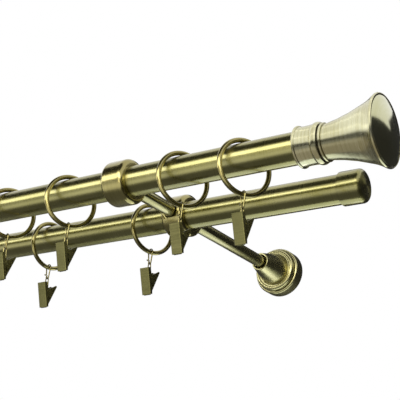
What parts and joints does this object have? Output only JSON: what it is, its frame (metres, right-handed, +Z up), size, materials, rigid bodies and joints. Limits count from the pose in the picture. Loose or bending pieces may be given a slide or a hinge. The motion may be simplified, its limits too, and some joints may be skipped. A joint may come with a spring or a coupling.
{
  "type": "double curtain pole",
  "caption": "Curtain rail of parallel tubes on turned wall brackets, with trumpet finials on the front tube, plain caps on the rear one and sliding rings that carry sprung clips.",
  "frame": {"origin": "on the wall, midway between the two brackets, level with both tubes", "axes": "+X along the tubes, +Y from the room to the wall, +Z up"},
  "size_m": [1.319, 0.2972, 0.0961],
  "materials": {
    "antique_brass": "brushed antique brass",
    "polished_brass": "polished antique brass",
    "wire_brass": "polished antique brass",
    "clip_brass": "satin antique brass",
    "dark_steel": "browned steel"
  },
  "bodies": {
    "root": {"collar_screws": "dark_steel", "end_cap_left": "antique_brass", "end_cap_right": "antique_brass", "finial_dome_left": "polished_brass", "finial_dome_right": "polished_brass", "finial_left": "polished_brass", "finial_right": "polished_brass", "finial_screws": "dark_steel", "front_arm_left": "antique_brass", "front_arm_right": "antique_brass", "front_collar_left": "antique_brass", "front_collar_right": "antique_brass", "front_pole": "antique_brass", "rear_arm_left": "antique_brass", "rear_arm_right": "antique_brass", "rear_collar_left": "antique_brass", "rear_collar_right": "antique_brass", "rear_pole": "antique_brass", "rose_left": "antique_brass", "rose_right": "antique_brass", "wall_plate_left": "antique_brass", "wall_plate_right": "antique_brass"},
    "ring_1": {"ring_1": "wire_brass"},
    "hook_ring_1": {"hook_ring_1": "wire_brass"},
    "link_ring_1": {"link_ring_1": "wire_brass"},
    "clip_ring_1": {"front_jaw_ring_1": "clip_brass", "spring_ring_1": "dark_steel"},
    "lever_ring_1": {"back_jaw_ring_1": "clip_brass"},
    "ring_2": {"ring_2": "wire_brass"},
    "hook_ring_2": {"hook_ring_2": "wire_brass"},
    "link_ring_2": {"link_ring_2": "wire_brass"},
    "clip_ring_2": {"front_jaw_ring_2": "clip_brass", "spring_ring_2": "dark_steel"},
    "lever_ring_2": {"back_jaw_ring_2": "clip_brass"},
    "ring_3": {"ring_3": "wire_brass"},
    "hook_ring_3": {"hook_ring_3": "wire_brass"},
    "link_ring_3": {"link_ring_3": "wire_brass"},
    "clip_ring_3": {"front_jaw_ring_3": "clip_brass", "spring_ring_3": "dark_steel"},
    "lever_ring_3": {"back_jaw_ring_3": "clip_brass"},
    "ring_4": {"ring_4": "wire_brass"},
    "hook_ring_4": {"hook_ring_4": "wire_brass"},
    "link_ring_4": {"link_ring_4": "wire_brass"},
    "clip_ring_4": {"front_jaw_ring_4": "clip_brass", "spring_ring_4": "dark_steel"},
    "lever_ring_4": {"back_jaw_ring_4": "clip_brass"},
    "ring_5": {"ring_5": "wire_brass"},
    "hook_ring_5": {"hook_ring_5": "wire_brass"},
    "link_ring_5": {"link_ring_5": "wire_brass"},
    "clip_ring_5": {"front_jaw_ring_5": "clip_brass", "spring_ring_5": "dark_steel"},
    "lever_ring_5": {"back_jaw_ring_5": "clip_brass"},
    "ring_6": {"ring_6": "wire_brass"},
    "hook_ring_6": {"hook_ring_6": "wire_brass"},
    "link_ring_6": {"link_ring_6": "wire_brass"},
    "clip_ring_6": {"front_jaw_ring_6": "clip_brass", "spring_ring_6": "dark_steel"},
    "lever_ring_6": {"back_jaw_ring_6": "clip_brass"}
  },
  "joints": [
    {"name": "ring_1_slide", "type": "slide", "parent": "root", "child": "ring_1", "axis": [1, 0, 0], "range_m": [-0.7, 0.0235]},
    {"name": "hook_ring_1_swing", "type": "hinge", "parent": "ring_1", "child": "hook_ring_1", "pos_m": [0.2995, -0.27, -0.0292], "axis": [0.4226, 0.9063, 0], "range_deg": [-30, 30]},
    {"name": "link_ring_1_swing", "type": "hinge", "parent": "hook_ring_1", "child": "link_ring_1", "pos_m": [0.2994, -0.26996, -0.04028], "axis": [0.9063, -0.4226, 0], "range_deg": [-20, 20]},
    {"name": "clip_ring_1_swing", "type": "hinge", "parent": "link_ring_1", "child": "clip_ring_1", "pos_m": [0.2995, -0.27, -0.05328], "axis": [0.998, -0.0628, 0], "range_deg": [-10, 10]},
    {"name": "clip_ring_1_open", "type": "hinge", "parent": "clip_ring_1", "child": "lever_ring_1", "pos_m": [0.2995, -0.27, -0.05328], "axis": [0.998, -0.0628, 0], "range_deg": [0, 18], "stiffness_Nm_per_rad": 0.03, "deforming": ["spring_ring_1"]},
    {"name": "ring_2_slide", "type": "slide", "parent": "root", "child": "ring_2", "axis": [1, 0, 0], "range_m": [-0.0235, 0.033]},
    {"name": "hook_ring_2_swing", "type": "hinge", "parent": "ring_2", "child": "hook_ring_2", "pos_m": [0.3699, -0.27, -0.0292], "axis": [0.4163, 0.9092, 0], "range_deg": [-30, 30]},
    {"name": "link_ring_2_swing", "type": "hinge", "parent": "hook_ring_2", "child": "link_ring_2", "pos_m": [0.3698, -0.26996, -0.04028], "axis": [0.9092, -0.4163, 0], "range_deg": [-20, 20]},
    {"name": "clip_ring_2_swing", "type": "hinge", "parent": "link_ring_2", "child": "clip_ring_2", "pos_m": [0.3699, -0.27, -0.05328], "axis": [0.998, -0.0628, 0], "range_deg": [-10, 10]},
    {"name": "clip_ring_2_open", "type": "hinge", "parent": "clip_ring_2", "child": "lever_ring_2", "pos_m": [0.3699, -0.27, -0.05328], "axis": [0.998, -0.0628, 0], "range_deg": [0, 18], "stiffness_Nm_per_rad": 0.03, "deforming": ["spring_ring_2"]},
    {"name": "ring_3_slide", "type": "slide", "parent": "root", "child": "ring_3", "axis": [1, 0, 0], "range_m": [-0.036, 0.016]},
    {"name": "hook_ring_3_swing", "type": "hinge", "parent": "ring_3", "child": "hook_ring_3", "pos_m": [0.4855, -0.27, -0.0292], "axis": [0.4274, 0.9041, 0], "range_deg": [-30, 30]},
    {"name": "link_ring_3_swing", "type": "hinge", "parent": "hook_ring_3", "child": "link_ring_3", "pos_m": [0.4854, -0.26995, -0.04028], "axis": [0.9041, -0.4274, 0], "range_deg": [-20, 20]},
    {"name": "clip_ring_3_swing", "type": "hinge", "parent": "link_ring_3", "child": "clip_ring_3", "pos_m": [0.4855, -0.27, -0.05328], "axis": [0.998, -0.0628, 0], "range_deg": [-10, 10]},
    {"name": "clip_ring_3_open", "type": "hinge", "parent": "clip_ring_3", "child": "lever_ring_3", "pos_m": [0.4855, -0.27, -0.05328], "axis": [0.998, -0.0628, 0], "range_deg": [0, 18], "stiffness_Nm_per_rad": 0.03, "deforming": ["spring_ring_3"]},
    {"name": "ring_4_slide", "type": "slide", "parent": "root", "child": "ring_4", "axis": [1, 0, 0], "range_m": [-0.016, 0.034]},
    {"name": "hook_ring_4_swing", "type": "hinge", "parent": "ring_4", "child": "hook_ring_4", "pos_m": [0.5416, -0.27, -0.0292], "axis": [0.4602, 0.8878, 0], "range_deg": [-30, 30]},
    {"name": "link_ring_4_swing", "type": "hinge", "parent": "hook_ring_4", "child": "link_ring_4", "pos_m": [0.54151, -0.26995, -0.04028], "axis": [0.8878, -0.4602, 0], "range_deg": [-20, 20]},
    {"name": "clip_ring_4_swing", "type": "hinge", "parent": "link_ring_4", "child": "clip_ring_4", "pos_m": [0.5416, -0.27, -0.05328], "axis": [0.998, -0.0628, 0], "range_deg": [-10, 10]},
    {"name": "clip_ring_4_open", "type": "hinge", "parent": "clip_ring_4", "child": "lever_ring_4", "pos_m": [0.5416, -0.27, -0.05328], "axis": [0.998, -0.0628, 0], "range_deg": [0, 18], "stiffness_Nm_per_rad": 0.03, "deforming": ["spring_ring_4"]},
    {"name": "ring_5_slide", "type": "slide", "parent": "root", "child": "ring_5", "axis": [1, 0, 0], "range_m": [-0.678, 0.052]},
    {"name": "hook_ring_5_swing", "type": "hinge", "parent": "ring_5", "child": "hook_ring_5", "pos_m": [0.2724, -0.185, -0.0292], "axis": [0.1564, 0.9877, 0], "range_deg": [-30, 30]},
    {"name": "link_ring_5_swing", "type": "hinge", "parent": "hook_ring_5", "child": "link_ring_5", "pos_m": [0.2723, -0.18498, -0.04028], "axis": [0.9877, -0.1564, 0], "range_deg": [-20, 20]},
    {"name": "clip_ring_5_swing", "type": "hinge", "parent": "link_ring_5", "child": "clip_ring_5", "pos_m": [0.2724, -0.185, -0.05328], "axis": [0.998, -0.0628, 0], "range_deg": [-10, 10]},
    {"name": "clip_ring_5_open", "type": "hinge", "parent": "clip_ring_5", "child": "lever_ring_5", "pos_m": [0.2724, -0.185, -0.05328], "axis": [0.998, -0.0628, 0], "range_deg": [0, 18], "stiffness_Nm_per_rad": 0.03, "deforming": ["spring_ring_5"]},
    {"name": "ring_6_slide", "type": "slide", "parent": "root", "child": "ring_6", "axis": [1, 0, 0], "range_m": [-0.052, 0.012]},
    {"name": "hook_ring_6_swing", "type": "hinge", "parent": "ring_6", "child": "hook_ring_6", "pos_m": [0.3943, -0.185, -0.0292], "axis": [0.2924, 0.9563, 0], "range_deg": [-30, 30]},
    {"name": "link_ring_6_swing", "type": "hinge", "parent": "hook_ring_6", "child": "link_ring_6", "pos_m": [0.3942, -0.18497, -0.04028], "axis": [0.9563, -0.2924, 0], "range_deg": [-20, 20]},
    {"name": "clip_ring_6_swing", "type": "hinge", "parent": "link_ring_6", "child": "clip_ring_6", "pos_m": [0.3943, -0.185, -0.05328], "axis": [0.998, -0.0628, 0], "range_deg": [-10, 10]},
    {"name": "clip_ring_6_open", "type": "hinge", "parent": "clip_ring_6", "child": "lever_ring_6", "pos_m": [0.3943, -0.185, -0.05328], "axis": [0.998, -0.0628, 0], "range_deg": [0, 18], "stiffness_Nm_per_rad": 0.03, "deforming": ["spring_ring_6"]}
  ]
}
